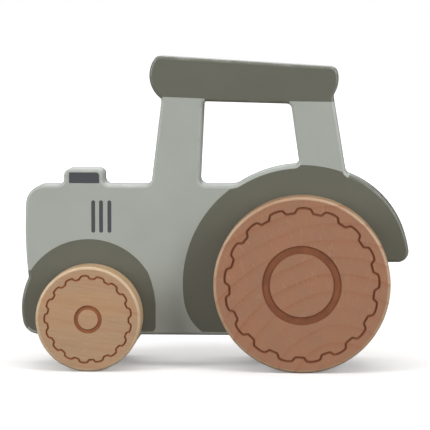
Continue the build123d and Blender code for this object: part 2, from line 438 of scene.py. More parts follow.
class Nodes:
    """Adds nodes to a tree and joins them. A value may be a number, a colour or a socket."""

    def __init__(self, tree):
        self.tree = tree
        tree.nodes.clear()

    def add(self, kind, values=None, **settings):
        """One node with its settings and its inputs, by name or by number."""
        node = self.tree.nodes.new(kind)
        node.location = (NODE_SPACING * len(self.tree.nodes), 0)
        for name, value in settings.items():
            setattr(node, name, value)
        for key, value in (values or {}).items():
            if isinstance(value, bpy.types.NodeSocket):
                self.tree.links.new(value, node.inputs[key])
            else:
                node.inputs[key].default_value = value
        return node

    def maths(self, operation, *values):
        """A maths node's result."""
        return self.add("ShaderNodeMath", dict(enumerate(values)), operation=operation).outputs[0]

    def times(self, first, second):
        """Two values multiplied."""
        return self.maths("MULTIPLY", first, second)

    def blend(self, first, share, second, other_share):
        """The sum of two values, each times its share."""
        return self.maths("ADD", self.times(first, share), self.times(second, other_share))

    def vector(self, operation, *values, **named):
        """A vector maths node's vector result."""
        node = self.add("ShaderNodeVectorMath", {**dict(enumerate(values)), **named},
                        operation=operation)
        return node.outputs["Vector"]

    def in_mm(self, vector):
        """A vector in metres, in millimetres."""
        return self.vector("SCALE", vector, Scale=TO_MM)

    def noise(self, vector, scale, detail=2.0, roughness=0.5):
        """Smooth noise about one half."""
        values = {"Vector": vector, "Scale": scale, "Detail": detail, "Roughness": roughness}
        return self.add("ShaderNodeTexNoise", values).outputs["Fac"]

    def ranged(self, value, low, high, to_low=0.0, to_high=1.0, kind="LINEAR"):
        """A value moved straight from one range to another, and held to it."""
        values = {"Value": value, "From Min": low, "From Max": high,
                  "To Min": to_low, "To Max": to_high}
        return self.add("ShaderNodeMapRange", values, interpolation_type=kind).outputs[0]

    def between(self, value, low, high, to_low=0.0, to_high=1.0):
        """A value eased from one range to another."""
        return self.ranged(value, low, high, to_low, to_high, "SMOOTHSTEP")

    def mix(self, factor, *colours):
        """Two colours mixed; a mix node takes its colours at inputs 6 and 7."""
        first, second = (colour if isinstance(colour, bpy.types.NodeSocket) else (*colour, 1.0)
                         for colour in colours)
        values = {0: factor, 6: first, 7: second}
        return self.add("ShaderNodeMix", values, data_type="RGBA").outputs[2]

    def group(self, tree, **values):
        """A node group's outputs, its inputs named with _ for each space."""
        named = {name.replace("_", " "): value for name, value in values.items()}
        return self.add("ShaderNodeGroup", named, node_tree=tree).outputs

    def surface(self, colour, roughness, height, bump, **values):
        """The shader and the output, with a bump of the given depth."""
        relief = self.add("ShaderNodeBump", {"Height": height, "Distance": bump})
        shader = self.add("ShaderNodeBsdfPrincipled",
                          {"Base Color": colour, "Roughness": roughness,
                           "Normal": relief.outputs[0],
                           **{name.replace("_", " "): value for name, value in values.items()}})
        self.add("ShaderNodeOutputMaterial", {"Surface": shader.outputs[0]})


def tinted(colour, *factors):
    """A colour made darker or lighter, by one factor or by one for each of its parts."""
    return tuple(min(1.0, c * f) for c, f in zip(colour, factors * 3))


def new_group(name, inputs, outputs):
    """An empty node group, with its inputs and outputs made."""
    tree = bpy.data.node_groups.new(name, "ShaderNodeTree")
    for label, kind, default in inputs:
        socket = tree.interface.new_socket(name=label, in_out="INPUT", socket_type=kind)
        if default is not None:
            socket.default_value = default
    for label in outputs:
        tree.interface.new_socket(name=label, in_out="OUTPUT", socket_type="NodeSocketFloat")
    nodes = Nodes(tree)
    given = nodes.add("NodeGroupInput").outputs
    made = nodes.add("NodeGroupOutput").inputs
    return tree, nodes, given, made


def existing_or(name, build):
    """The node group of that name, built the first time that it is asked for."""
    return bpy.data.node_groups.get(name) or build(name)


def build_timber_grain(name):
    """Growth rings about a trunk's pith, its rays, its fibres and its slow change of colour."""
    tree, nodes, given, made = new_group(
        name,
        [("Vector", "NodeSocketVector", None),
         ("Trunk Turn", "NodeSocketVector", (0, 0, 0)),
         ("Pith", "NodeSocketVector", (0, 0, 0)),
         ("Ring Spacing", "NodeSocketFloat", 8 * MM),
         ("Ring Wander", "NodeSocketFloat", 2 * MM)],
        ["Rings", "Rays", "Fibres", "Mottle"])
    turned = nodes.add("ShaderNodeVectorRotate",
                       {"Vector": given["Vector"], "Rotation": given["Trunk Turn"]},
                       rotation_type="EULER_XYZ").outputs[0]
    trunk = nodes.vector("SUBTRACT", turned, given["Pith"])
    in_mm = nodes.in_mm(trunk)
    apart = nodes.add("ShaderNodeSeparateXYZ", {0: in_mm}).outputs
    across = nodes.add("ShaderNodeCombineXYZ", {0: apart[0], 1: apart[1]}).outputs[0]
    radius = nodes.add("ShaderNodeVectorMath", {0: across}, operation="LENGTH").outputs["Value"]
    long_way = nodes.vector("MULTIPLY", in_mm, (1.0, 1.0, 0.3))

    # Rings: a slow build-up to a narrow dark line, then a sudden stop.
    wander = nodes.maths("MULTIPLY_ADD", nodes.noise(long_way, 0.035, 3), 2.0, -1.0)
    swayed = nodes.maths("MULTIPLY_ADD", wander,
                         nodes.times(given["Ring Wander"], TO_MM), radius)
    years = nodes.maths("DIVIDE", swayed, nodes.times(given["Ring Spacing"], TO_MM))
    season = nodes.maths("FRACT", years)
    build_up = nodes.maths("POWER", nodes.ranged(season, 0.35, 0.93), 3.0)
    stop = nodes.between(season, 0.93, 1.0, 1.0, 0.0)
    year = nodes.add("ShaderNodeTexWhiteNoise", {"W": nodes.maths("FLOOR", years)},
                     noise_dimensions="1D").outputs["Value"]
    strength = nodes.maths("MULTIPLY_ADD", year, 0.6, 0.4)
    ring = nodes.times(nodes.times(build_up, stop), strength)
    broken = nodes.ranged(nodes.noise(long_way, 0.06, 3), 0.3, 0.7, 0.35, 1.0)
    nodes.tree.links.new(nodes.times(ring, broken), made["Rings"])

    # Rays: fine short lines that run out from the pith.
    angle = nodes.maths("ARCTAN2", apart[1], apart[0])
    ray_place = nodes.add("ShaderNodeCombineXYZ",
                          {0: nodes.times(angle, 110.0),
                           1: nodes.times(radius, 0.22),
                           2: nodes.times(apart[2], 0.35)}).outputs[0]
    nodes.tree.links.new(nodes.noise(ray_place, 1.0, 2.0, 0.6), made["Rays"])

    # Fibres: long thin streaks along the trunk.
    fibre_place = nodes.vector("MULTIPLY", in_mm, (2.6, 2.6, 0.07))
    nodes.tree.links.new(nodes.noise(fibre_place, 1.0, 4.0, 0.65), made["Fibres"])
    nodes.tree.links.new(nodes.noise(long_way, 0.09, 2.0), made["Mottle"])
    return tree


def build_satin_film(name):
    """The slight unevenness of a thin sprayed film, and the fine dust that settled in it."""
    tree, nodes, given, made = new_group(
        name,
        [("Vector", "NodeSocketVector", None), ("Speck Density", "NodeSocketFloat", 0.5)],
        ["Height", "Sheen Change", "Mottle", "Specks"])
    in_mm = nodes.in_mm(given["Vector"])
    peel = nodes.noise(in_mm, 1.4, 2.0)
    fine = nodes.noise(in_mm, 7.0, 2.0)
    height = nodes.blend(peel, 0.75, fine, 0.25)
    nodes.tree.links.new(height, made["Height"])
    sheen = nodes.maths("MULTIPLY_ADD", nodes.noise(in_mm, 0.08, 4.0, 0.6), 2.0, -1.0)
    nodes.tree.links.new(sheen, made["Sheen Change"])
    nodes.tree.links.new(nodes.noise(in_mm, 0.035, 3.0, 0.55), made["Mottle"])
    cells = nodes.add("ShaderNodeTexVoronoi", {"Vector": in_mm, "Scale": 0.16})
    chosen = nodes.add("ShaderNodeSeparateColor", {0: cells.outputs["Color"]}).outputs[0]
    speck = nodes.between(cells.outputs["Distance"], 0.02, 0.05, 1.0, 0.0)
    allowed = nodes.maths("LESS_THAN", chosen, given["Speck Density"])
    nodes.tree.links.new(nodes.times(speck, allowed), made["Specks"])
    return tree


def build_edge_wear_and_highlight(name):
    """Where the finish is paler, partly because handling has thinned it and partly as a painted
    highlight: patchy along rounded edges, nowhere else.
    """
    tree, nodes, given, made = new_group(
        name,
        [("Vector", "NodeSocketVector", None), ("Edge", "NodeSocketFloat", 0.0),
         ("Amount", "NodeSocketFloat", 0.5)],
        ["Wear"])
    in_mm = nodes.in_mm(given["Vector"])
    patches = nodes.noise(in_mm, 0.12, 3.0, 0.6)
    fine = nodes.noise(in_mm, 1.1, 3.0, 0.6)
    both = nodes.blend(patches, 0.7, fine, 0.3)
    spread = nodes.between(both, 0.42, 0.68)
    # Paler patches on the rounded edges: partly wear, partly a painted highlight.
    wear_and_highlight = nodes.times(nodes.times(spread, given["Edge"]), given["Amount"])
    nodes.tree.links.new(wear_and_highlight, made["Wear"])
    return tree


def build_laser_burn(name):
    """A laser's fine raster lines, and how unevenly they have charred the wood."""
    tree, nodes, given, made = new_group(
        name,
        [("Vector", "NodeSocketVector", None), ("Pitch", "NodeSocketFloat", 0.25 * MM)],
        ["Height", "Char"])
    in_mm = nodes.in_mm(given["Vector"])
    up = nodes.add("ShaderNodeSeparateXYZ", {0: given["Vector"]}).outputs[2]
    passes = nodes.maths("DIVIDE", up, given["Pitch"])
    raster = nodes.maths("SINE", nodes.times(passes, math.tau))
    rough = nodes.noise(in_mm, 3.0, 3.0, 0.7)
    height = nodes.maths("ADD", nodes.times(raster, 0.25), rough)
    nodes.tree.links.new(height, made["Height"])
    slow = nodes.noise(in_mm, 0.16, 3.0, 0.6)
    char = nodes.blend(slow, 0.75, rough, 0.25)
    nodes.tree.links.new(nodes.between(char, 0.35, 0.65), made["Char"])
    return tree


def new_material(name):
    """A material with an empty tree, its nodes, and the object's own coordinates."""
    material = bpy.data.materials.new(name)
    material.use_nodes = True
    nodes = Nodes(material.node_tree)
    place = nodes.add("ShaderNodeTexCoord").outputs["Object"]
    return material, nodes, place


def attribute(nodes, name):
    """A value that the mesh holds at each vertex."""
    return nodes.add("ShaderNodeAttribute", attribute_name=name).outputs["Fac"]


def satin_paint(name, colour, roughness):
    """Sprayed satin paint, a little thinner and paler along the rounded edges: partly wear, partly a
    painted highlight.
    """
    material, nodes, place = new_material(name)
    film = nodes.group(existing_or("satin_film", build_satin_film), Vector=place, Speck_Density=0.25)
    wear_and_highlight = nodes.group(existing_or("edge_wear_and_highlight", build_edge_wear_and_highlight), Vector=place,
                       Edge=attribute(nodes, "edge"), Amount=0.45)["Wear"]
    even = nodes.mix(nodes.ranged(film["Mottle"], 0.3, 0.7), tinted(colour, 0.955),
                     tinted(colour, 1.045))
    specked = nodes.mix(nodes.times(film["Specks"], 0.25), even, tinted(colour, 0.6))
    # Paler along the rounded edges: partly worn paint, partly a painted highlight.
    worn_and_highlit = nodes.mix(wear_and_highlight, specked, tuple(0.55 * c + 0.30 for c in colour))
    sheen = nodes.maths("MULTIPLY_ADD", film["Sheen Change"], 0.06, roughness)
    nodes.surface(worn_and_highlit, nodes.maths("MULTIPLY_ADD", wear_and_highlight, 0.12, sheen), film["Height"], 0.02 * MM,
                  IOR=1.48)
    return material


def turned_wood(name, face, rim, burn, grain):
    """Oiled and sanded wood; the rim is paler than the faces, a painted highlight runs along each
    rounded rim edge, and lines scorch it beside them.
    """
    material, nodes, place = new_material(name)
    wood = nodes.group(existing_or("timber_grain", build_timber_grain), Vector=place,
                       Trunk_Turn=grain.turn, Pith=grain.pith,
                       Ring_Spacing=grain.spacing, Ring_Wander=grain.wander)
    film = nodes.group(existing_or("satin_film", build_satin_film), Vector=place, Speck_Density=0.1)
    ground = nodes.mix(nodes.ranged(wood["Mottle"], 0.32, 0.68), tinted(face, 1.05, 1.0, 0.95),
                       tinted(face, 0.98, 1.0, 1.02))
    edge = attribute(nodes, "edge")
    sided = nodes.mix(edge, ground, rim)
    # Painted highlight: a pale line along the middle of each rounded rim edge, where the lights
    # would glint.
    part_round = nodes.times(edge, nodes.maths("SUBTRACT", 1.0, edge))
    painted_arris_highlight = nodes.times(part_round, 2.2)
    highlit_rim = nodes.mix(painted_arris_highlight, sided, tinted(rim, 1.2, 1.45, 1.8))
    ringed = nodes.mix(nodes.times(wood["Rings"], grain.ring_strength), highlit_rim,
                       tinted(face, 0.92, 0.66, 0.55))
    rays = nodes.between(wood["Rays"], 0.58, 0.72)
    rayed = nodes.mix(nodes.times(rays, grain.ray_strength), ringed,
                      tinted(face, 1.35, 1.48, 1.55))
    streak = nodes.ranged(wood["Fibres"], 0.3, 0.7, 1 - grain.fibre_strength,
                          1 + grain.fibre_strength)
    fibred = nodes.vector("SCALE", rayed, Scale=streak)
    scorch = nodes.times(nodes.maths("POWER", attribute(nodes, "scorch"), 1.6), 0.62)
    scorched = nodes.mix(scorch, fibred, burn)
    rubbed = nodes.maths("MULTIPLY_ADD", edge, -0.14, grain.roughness)
    sheen = nodes.maths("MULTIPLY_ADD", film["Sheen Change"], 0.05, rubbed)
    height = nodes.blend(wood["Fibres"], 0.8, wood["Rays"], 0.2)
    nodes.surface(scorched, sheen, height, 0.03 * MM, IOR=1.46)
    return material


def burnt_wood(name, burn):
    """The floor and walls of a laser-engraved line."""
    material, nodes, place = new_material(name)
    laser = nodes.group(existing_or("laser_burn", build_laser_burn), Vector=place, Pitch=0.25 * MM)
    mixed = nodes.mix(laser["Char"], tinted(burn, 0.86), tinted(burn, 1.14))
    near_lip = nodes.maths("POWER", attribute(nodes, "scorch"), 2.0)
    rimmed = nodes.mix(nodes.times(near_lip, 0.3), mixed, tinted(burn, 0.8))
    roughness = nodes.ranged(laser["Char"], 0.0, 1.0, 0.72, 0.86)
    nodes.surface(rimmed, roughness, laser["Height"], 0.04 * MM, IOR=1.4)
    return material


Grain = namedtuple("Grain", "turn pith spacing wander ring_strength ray_strength fibre_strength"
                            " roughness")


# ---------------------------------------------------------------- board
# Lengths that end in _MM are millimetres, across and up from an axle or down from the top.

SAGE, OLIVE, CHARCOAL, CORE = range(4)       # the order of the board's materials

ROOF_LINE_MM = ((-72.0, 18.5), (-64.1, 18.6), (-52.6, 19.0), (-27.1, 20.2), (-9.1, 20.5),
                (13.0, 20.7), (20.0, 20.8))  # from the rear axle, and down from the top
FOOT_LAP = 0.3 * MM                # how far a field runs out over the rounded foot
FRONT_CENTRE_MM = (-1.3, 3.0)
FRONT_ARCH = (31, 185)             # degrees, from its back end to its front
FRONT_BACK_EDGE = 29.45 * MM       # behind the front axle
FRONT_FLANK_MM = ((0.0, 5.5), (0.7, 10.7), (2.05, 15.9))     # in from the back edge, and up
FRONT_CORNER = 2.8 * MM
REAR_CENTRE_MM = (-0.1, -1.5)
REAR_ARCH = (-35, 188.7)           # degrees, from its back end to where the cheek begins
REAR_CHEEK = 21.3 * MM             # radius of the tighter turn at its foot
REAR_CORNER = 2.5 * MM
CAP_ACROSS_MM = (-10.25, 3.7)      # from the front axle
CAP_DOWN_MM = (58.2, 53.2)
CAP_CORNER = 0.4 * MM
BARS_ACROSS_MM = (0.85, 4.45, 8.3)           # from the front axle
BARS_UP_MM = (37.9, 52.8)
FRONT_HEEL = 3.5 * MM              # the front guard's edge paint ends this far above the foot
REAR_GUARD_FOOT = 21 * MM          # the rear guard's edge paint begins this far behind its axle

BOARD_SPACING = 5 * MM             # between triangles' corners on the flat faces
BOARD_SIDE_STEPS = 6
BORE_STEPS = 3
BORE_CORNERS = 72

def axle_place(end):
    """An axle's middle, in plan."""
    lo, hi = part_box(f"{end}_axle")
    return Vector(((lo.x + hi.x) / 2, (lo.z + hi.z) / 2))


def roof_border():
    """The line under the roof's paint, from the front of the cab to its back."""
    rear = axle_place("rear")
    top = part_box("body_board")[1].z
    return [Vector((rear.x + x * MM, top - drop * MM)) for x, drop in ROOF_LINE_MM]


def front_field(settings):
    """The dark field over a front wheel: an arch with a straight back edge and a rounded heel."""
    axle = axle_place("front")
    centre = axle + Vector(FRONT_CENTRE_MM) * MM
    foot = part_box("body_board")[0].z + settings.edge_rounding - FOOT_LAP
    back_edge = axle.x + FRONT_BACK_EDGE
    arch = arc(centre, settings.front_field, *FRONT_ARCH)
    flank = [Vector((back_edge, foot)),
             *(Vector((back_edge - x * MM, axle.y + up * MM)) for x, up in FRONT_FLANK_MM)]
    return rounded(flank + arch + [Vector((arch[-1].x, foot))], FRONT_CORNER)


def rear_field(settings):
    """The dark field over a rear wheel: a wide arch that turns in more tightly at its foot."""
    rear = axle_place("rear")
    centre = rear + Vector(REAR_CENTRE_MM) * MM
    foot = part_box("body_board")[0].z + settings.edge_rounding - FOOT_LAP
    arch = arc(centre, settings.rear_field, *REAR_ARCH)
    towards = (arch[-1] - centre).normalized()
    cheek_centre = arch[-1] - towards * REAR_CHEEK
    lowest = math.degrees(math.asin((cheek_centre.y - foot) / REAR_CHEEK))
    cheek = arc(cheek_centre, REAR_CHEEK, REAR_ARCH[1], 180 + lowest)
    far_corner = Vector((arch[0].x, foot))
    return rounded([far_corner] + arch + cheek[1:], REAR_CORNER)


def cap_panel():
    """The charcoal panel on the flat of the radiator cap."""
    front = axle_place("front")
    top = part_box("body_board")[1].z
    left, right = (front.x + x * MM for x in CAP_ACROSS_MM)
    low, high = (top - drop * MM for drop in CAP_DOWN_MM)
    corners = [Vector(c) for c in ((left, low), (right, low), (right, high), (left, high))]
    return divided(rounded(corners, CAP_CORNER), FINE_STEP)


def grille_bars(settings):
    """The three painted bars of the grille, with round ends."""
    front = axle_place("front")
    half = settings.bar_width / 2
    low, high = (front.y + up * MM for up in BARS_UP_MM)
    bars = []
    for x in BARS_ACROSS_MM:
        middle = front.x + x * MM
        top_end = arc(Vector((middle, high - half)), half, 0, 180)
        low_end = arc(Vector((middle, low + half)), half, 180, 360)
        bars.append(divided(top_end + low_end, FINE_STEP))
    return bars


def edge_profile(radius, thickness, side_steps):
    """Rows from one face to the other, round both rounded edges and along the side between.

    A row is its inset, its depth, and its normal's shares: out of the first face, and sideways.
    """
    quarter = []
    for k in range(EDGE_STEPS + 1):
        turn = math.pi / 2 * k / EDGE_STEPS
        quarter.append((radius * (1 - math.sin(turn)), radius * (1 - math.cos(turn)),
                        math.cos(turn), math.sin(turn)))
    side = [(0, radius + (thickness - 2 * radius) * k / side_steps, 0, 1)
            for k in range(1, side_steps)]
    far = [(inward, thickness - depth, -face_share, side_share)
           for inward, depth, face_share, side_share in reversed(quarter)]
    return quarter + side + far


class PaintPlan:
    """Which paint covers which part of the board."""

    def __init__(self, settings):
        self.roof = roof_border()
        self.front = front_field(settings)
        self.rear = rear_field(settings)
        self.panels = [cap_panel(), *grille_bars(settings)]
        self.heel_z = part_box("body_board")[0].z + FRONT_HEEL
        self.guard_foot_x = axle_place("rear").x + REAR_GUARD_FOOT

    def shapes(self):
        """The closed shapes."""
        return [self.front, self.rear, *self.panels]

    def borders(self):
        """Every paint border as an open run of points."""
        return [self.roof] + [shape + shape[:1] for shape in self.shapes()]

    def under_roof_paint(self, places):
        """Which places are above the roof's border."""
        line = as_array(self.roof)
        return places[:, 1] > np.interp(places[:, 0], line[:, 0], line[:, 1])

    def at(self, places):
        """The paints at some places on the flat faces."""
        dark = self.under_roof_paint(places) | inside(places, self.front) | inside(places, self.rear)
        trim = np.any([inside(places, panel) for panel in self.panels], axis=0)
        return np.where(trim, CHARCOAL, np.where(dark, OLIVE, SAGE))

    def round_edge(self, places):
        """The paints of the edge beside some places: the roof and both guards are dark all round."""
        front_guard = inside(places, self.front) & (places[:, 1] > self.heel_z)
        rear_guard = inside(places, self.rear) & (places[:, 0] > self.guard_foot_x)
        dark = self.under_roof_paint(places) | front_guard | rear_guard
        return np.where(dark, OLIVE, SAGE).tolist()


class TRACTOR_OT_board(bpy.types.Operator):
    """Build the board: rounded edges all round, painted fields on both faces"""

    bl_idname = "tractor.build_board"
    bl_label = "Build Board"

    def execute(self, context):
        settings = context.scene.tractor_board
        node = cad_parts["body_board"]
        lo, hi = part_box("body_board")
        rounding = settings.edge_rounding
        curves = wall_curves(node, lo.y + rounding)
        if len(curves) != 2:
            raise RuntimeError(f"the board should have an outline and one window,"
                               f" not {len(curves)} curves")

        plan = PaintPlan(settings)
        outline, window = (cut_by(smooth_samples(curve), plan.borders(), rounding)
                           for curve in curves)
        bore_radius = self.bore_radius() + settings.axle_clearance
        bores = [circle(axle_place(end), bore_radius, BORE_CORNERS) for end in ENDS]
        edges = [inset(outline, rounding), inset(window, rounding)]
        shapes = [(curve, True) for curve in edges + bores + plan.shapes()] + [(plan.roof, False)]
        triangles, middles = flat_triangles(shapes, BOARD_SPACING)
        wood = inside(middles, edges[0]) & ~inside(middles, edges[1])
        for bore in bores:
            wood &= ~inside(middles, bore)
        paints = plan.at(middles)

        skin = Skin()
        for y, out in ((lo.y, Vector((0, -1, 0))), (hi.y, Vector((0, 1, 0)))):
            for triangle, paint in zip([triangles[i] for i in np.nonzero(wood)[0]], paints[wood]):
                skin.face([Corner(upright(p, y), out) for p in triangle], int(paint))
        for samples in (outline, window):
            self.edge_strips(skin, samples, lo.y, hi.y, rounding, plan)
        for end, bore in zip(ENDS, bores):
            self.bore_wall(skin, axle_place(end), bore, lo.y, hi.y)

        materials = [satin_paint("sage_paint", settings.sage, 0.36),
                     satin_paint("olive_paint", settings.olive, 0.34),
                     satin_paint("charcoal_paint", settings.charcoal, 0.5),
                     plain_wood("board_core", settings.core, (0, 0, 0))]
        board = skin.make("painted_board", materials)
        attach(board, "tractor_body")
        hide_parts("body_board")
        return {"FINISHED"}

    @staticmethod
    def bore_radius():
        """Half the thickness of an axle."""
        lo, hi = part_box("rear_axle")
        return (hi.z - lo.z) / 2

    @staticmethod
    def edge_strips(skin, samples, front_y, back_y, rounding, plan):
        """The rounded edges and the side between them, along one closed curve."""
        rows = []
        profile = edge_profile(rounding, back_y - front_y, BOARD_SIDE_STEPS)
        for inward, depth, face_share, side_share in profile:
            edge = 2 * abs(face_share) * side_share
            rows.append([Corner(upright(s.place - s.normal * inward, front_y + depth),
                                upright(s.normal.normalized() * side_share, -face_share), edge)
                         for s in samples])
        places = as_array(inset(samples, rounding))
        paints = plan.round_edge((places + np.roll(places, -1, axis=0)) / 2)
        skin.strips(rows, paints)

    @staticmethod
    def bore_wall(skin, centre, bore, front_y, back_y):
        """The bare wall of an axle's bore."""
        levels = (front_y + (back_y - front_y) * k / BORE_STEPS for k in range(BORE_STEPS + 1))
        skin.strips([[Corner(upright(p, y), upright(centre - p, 0).normalized()) for p in bore]
                     for y in levels], CORE)


def plain_wood(name, colour, turn):
    """Bare straight-grained wood, for dowels, washers and bores."""
    material, nodes, place = new_material(name)
    wood = nodes.group(existing_or("timber_grain", build_timber_grain), Vector=place,
                       Trunk_Turn=turn, Pith=(0.03, 0.02, 0), Ring_Spacing=2.2 * MM,
                       Ring_Wander=1 * MM)
    ringed = nodes.mix(nodes.times(wood["Rings"], 0.5), colour,
                       tinted(colour, 0.80, 0.68, 0.58))
    fibred = nodes.vector("SCALE", ringed, Scale=nodes.ranged(wood["Fibres"], 0.3, 0.7, 0.88, 1.1))
    roughness = nodes.ranged(wood["Fibres"], 0.3, 0.7, 0.66, 0.54)
    nodes.surface(fibred, roughness, wood["Fibres"], 0.05 * MM, IOR=1.45)
    return material


# ---------------------------------------------------------------- wheels

WOOD, BURNT = range(2)     # the order of a wheel's materials

PRESS = 0.025 * MM         # how much smaller a wheel's bore is than its axle, on the radius
SPOKE_STEP = 1.4 * MM      # between corners round a rim
WHEEL_SPACING = 2.6 * MM   # between triangles' corners on a face
WHEEL_SIDE_STEPS = 5
RING_CORNERS = 120
BACK_ROWS = (0.75, 0.45)   # shares of the radius where the back has rows
WALL_SLOPE = 0.3           # how far a groove's wall leans in, as a share of its depth
WALL_LEAN = 0.95           # how much of a wall's normal points along the face, and
WALL_OUT = 0.3             # how much off it
WIDE_GROOVE = 2 * MM       # from this width, a groove's floor browns in steps

LOBE_SHOULDER = 0.235      # half of a lobe's top, as a share of the lobes' pitch
LOBE_FOOT = 0.345          # half of its base, likewise
LOBE_CROWN = 0.15          # how much of a lobe's height is in its rounded top
LOBE_STEPS = 8             # flats across a lobe's top
LOBE_CORNER = 0.8 * MM
TREAD_STEP = 0.9 * MM      # the most that corners on the tread line stand apart

Engraving = namedtuple("Engraving", "ring_inner ring_outer tread_inset tread_height tread_width"
                                    " tread_turn")

ENGRAVINGS = {
    "front": Engraving(ring_inner=4.6 * MM, ring_outer=6.3 * MM, tread_inset=4.15 * MM,
                       tread_height=1.35 * MM, tread_width=0.75 * MM, tread_turn=-4.5),
    "rear": Engraving(ring_inner=14.4 * MM, ring_outer=17.9 * MM, tread_inset=5.0 * MM,
                      tread_height=2.25 * MM, tread_width=0.95 * MM, tread_turn=1.6),
}


def clock(radius, angle):
    """A plan point at a radius and an angle in degrees, clockwise from the top."""
    turn = math.radians(angle)
    return Vector((radius * math.sin(turn), radius * math.cos(turn)))


def tread_line(radius, engraving, lobes):
    """The scalloped line's middle: broad rounded lobes with short dips, anticlockwise."""
    high = radius - engraving.tread_inset
    low = high - engraving.tread_height
    shoulder = high - LOBE_CROWN * engraving.tread_height
    pitch = 360 / lobes
    points = []
    for lobe in range(lobes):
        middle = engraving.tread_turn + lobe * pitch
        points.append(clock(low, middle - LOBE_FOOT * pitch))
        for k in range(LOBE_STEPS + 1):
            across = 2 * k / LOBE_STEPS - 1
            reach = shoulder + (high - shoulder) * (1 - across ** 2)
            points.append(clock(reach, middle + LOBE_SHOULDER * pitch * across))
        points.append(clock(low, middle + LOBE_FOOT * pitch))
    return divided(rounded(points[::-1], LOBE_CORNER), TREAD_STEP)


class WheelPlan:
    """Turns plan points on a wheel's outer face, and depths below it, into places."""

    def __init__(self, name, side):
        lo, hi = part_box(name)
        self.side = side
        self.centre = (lo + hi) / 2
        self.radius = (hi.z - lo.z) / 2
        self.thickness = hi.y - lo.y
        self.outer_y = hi.y if side > 0 else lo.y

    def corner(self, point, depth, tilt=(0, 0), out=1.0, edge=0.0, scorch=0.0):
        """A corner at a plan point; its normal leans along tilt, and out points off the face."""
        place = Vector((self.centre.x - self.side * point[0], self.outer_y - self.side * depth,
                        self.centre.z + point[1]))
        normal = Vector((-self.side * tilt[0], self.side * out, tilt[1])).normalized()
        return Corner(place, normal, edge, scorch)


def engrave(skin, plan, line, width, depth, scorch_width):
    """One burnt groove along a closed line. Gives back the edges of the scorched strip round it."""
    half = width / 2
    slope = WALL_SLOPE * depth
    outer, inner = offset(line, half), offset(line, -half)
    floor_outer, floor_inner = offset(line, half - slope), offset(line, slope - half)
    halo_outer, halo_inner = offset(line, half + scorch_width), offset(line, -half - scorch_width)

    def row(line, depth, scorch):
        return [plan.corner(p, depth, scorch=scorch) for p in line]

    skin.strip(row(halo_outer, 0, 0.0), row(outer, 0, 1.0), WOOD)
    skin.strip(row(inner, 0, 1.0), row(halo_inner, 0, 0.0), WOOD)
    for lip, foot in ((outer, floor_outer), (inner, floor_inner)):
        leans = [(f - e).normalized() * WALL_LEAN for e, f in zip(lip, foot)]
        skin.strips([[plan.corner(p, down, lean, WALL_OUT, scorch=1.0)
                      for p, lean in zip(line_edge, leans)]
                     for line_edge, down in ((lip, 0), (foot, depth))], BURNT)
    rows = 4 if width > WIDE_GROOVE else 2
    floors = [offset(line, (half - slope) * (1 - 2 * k / rows)) for k in range(rows + 1)]
    browns = [abs(1 - 2 * k / rows) for k in range(rows + 1)]
    floors[0], floors[-1] = floor_outer, floor_inner
    skin.strips([row(floor, depth, brown) for floor, brown in zip(floors, browns)], BURNT)
    return halo_outer, halo_inner


def turn_body(skin, plan, settings, spokes, bore_radius):
    """The wheel's rim, back and blind bore, as rows round its axis."""
    rounding = settings.edge_rounding
    thickness = plan.thickness
    sides = [[plan.corner(s * (plan.radius - inward), depth, s * side_share, face_share, side_share)
              for s in spokes]
             for inward, depth, face_share, side_share
             in edge_profile(rounding, thickness, WHEEL_SIDE_STEPS)]
    back_radii = [plan.radius - rounding, *(plan.radius * share for share in BACK_ROWS), bore_radius]
    backs = [[plan.corner(s * radius, thickness, out=-1) for s in spokes] for radius in back_radii]
    depths = (thickness - settings.bore_depth * k / BORE_STEPS for k in range(BORE_STEPS + 1))
    bore = [[plan.corner(s * bore_radius, depth, -s, 0) for s in spokes] for depth in depths]
    for rows in (sides, backs, bore):
        skin.strips(rows)
    bottom = thickness - settings.bore_depth
    ring = [plan.corner(s * bore_radius, bottom, out=-1) for s in spokes]
    skin.fan(ring, plan.corner((0, 0), bottom, out=-1))


